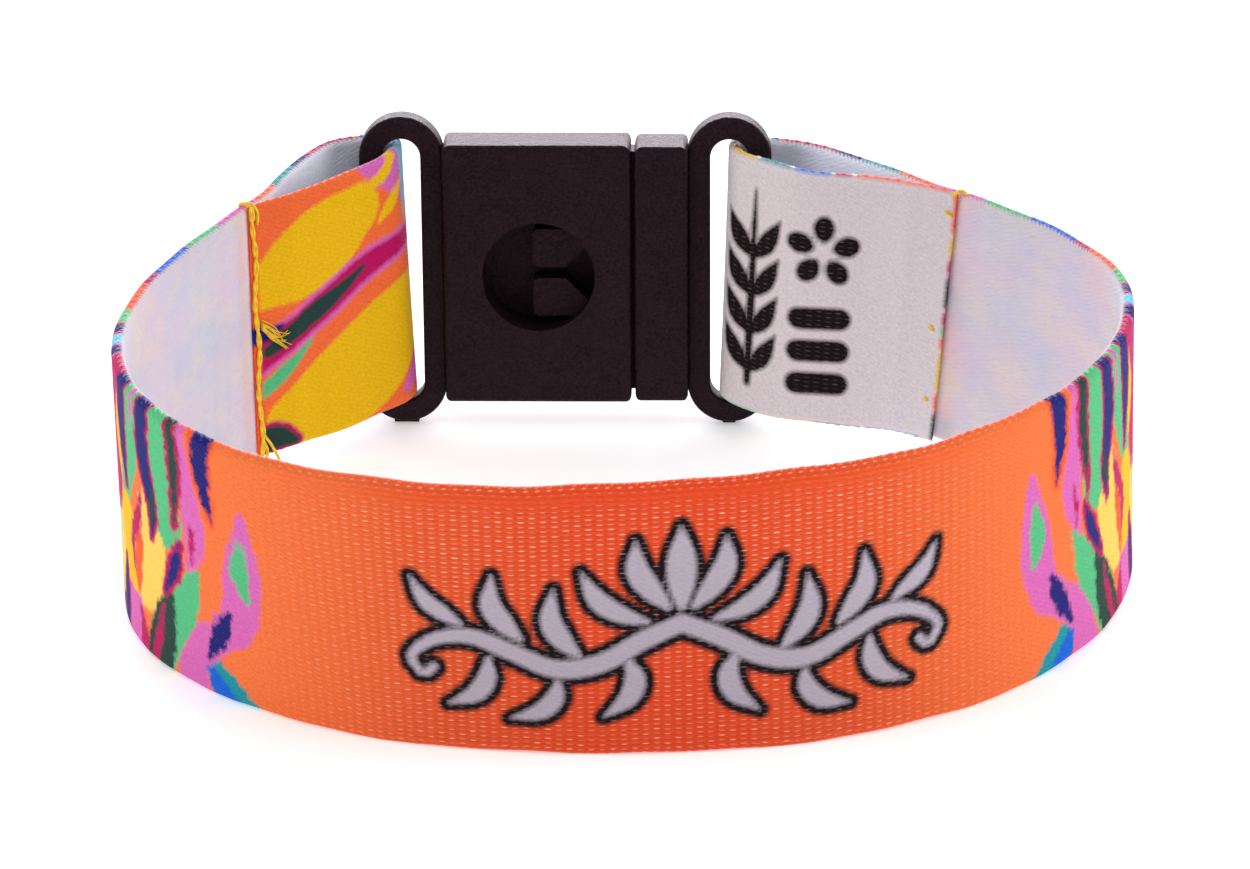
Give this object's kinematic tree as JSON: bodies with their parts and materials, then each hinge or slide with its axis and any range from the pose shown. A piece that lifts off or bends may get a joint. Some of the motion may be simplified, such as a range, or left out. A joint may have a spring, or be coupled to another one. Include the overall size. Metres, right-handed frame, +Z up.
{
  "type": "fabric wristband with plastic breakaway buckle",
  "caption": "Flat woven ribbon wristband, closed into an oval loop by a two-part plastic buckle whose ring ends hold the folded and sewn ribbon ends.",
  "frame": {"origin": "on the floor, under the middle of the overall box", "axes": "+Z up along the loop's axis, +X to the right seen from the front, +Y from the plain front to the buckle"},
  "size_m": [0.0727, 0.0619, 0.0246],
  "materials": {
    "ribbon": "printed woven polyester, matte, with a pale inner face",
    "buckle": "fine-grained black moulding"
  },
  "bodies": {
    "root": {"strap": "ribbon", "buckle_socket": "buckle", "buckle_plug": "buckle"}
  },
  "joints": []
}
